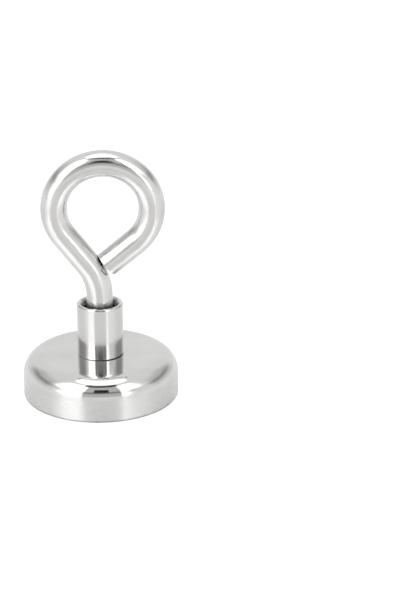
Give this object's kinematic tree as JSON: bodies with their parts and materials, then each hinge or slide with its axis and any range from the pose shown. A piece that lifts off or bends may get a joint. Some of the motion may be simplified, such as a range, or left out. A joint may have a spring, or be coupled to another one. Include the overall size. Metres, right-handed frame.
{
  "type": "magnet fishing magnet",
  "caption": "Small plated pot magnet for magnet fishing, with a round coupling sleeve and a bent-rod eye that unscrew together from a stud in the steel pot.",
  "frame": {"origin": "centre of the magnetic face, on the pot's axis", "axes": "+Z along the pot's axis from the magnetic face towards the eye; the eye lies in the XZ plane, with its free end on the +X side"},
  "size_m": [0.048, 0.048, 0.0788],
  "materials": {
    "pot_nickel": "nickel plated turned steel, polished shoulder and satin side wall",
    "magnet_nickel": "satin nickel plating on a sintered disc",
    "grey_epoxy": "cured grey potting epoxy",
    "clear_adhesive": "cured clear adhesive",
    "zinc_stud": "zinc plated thread",
    "sleeve_nickel": "nickel plated, turned",
    "eye_nickel": "bright nickel plated bent rod"
  },
  "bodies": {
    "pot": {"pot_shell": "pot_nickel", "magnet_disc": "magnet_nickel", "adhesive_film": "clear_adhesive", "potting_ring": "grey_epoxy", "threaded_stud": "zinc_stud"},
    "sleeve": {"coupling_sleeve": "sleeve_nickel"},
    "eye": {"eye_bolt": "eye_nickel"}
  },
  "joints": [
    {"name": "sleeve_lift", "type": "slide", "parent": "pot", "child": "sleeve", "axis": [0, 0, 1], "range_m": [0, 0.00782]},
    {"name": "eye_turn", "type": "hinge", "parent": "sleeve", "child": "eye", "pos_m": [0, 0, 0.0221], "axis": [0, 0, 1], "range_deg": [0, 2250]}
  ],
  "couplings": [
    {"joint": "sleeve_lift", "follows": "eye_turn", "m_per_rad": 0.00019894}
  ]
}
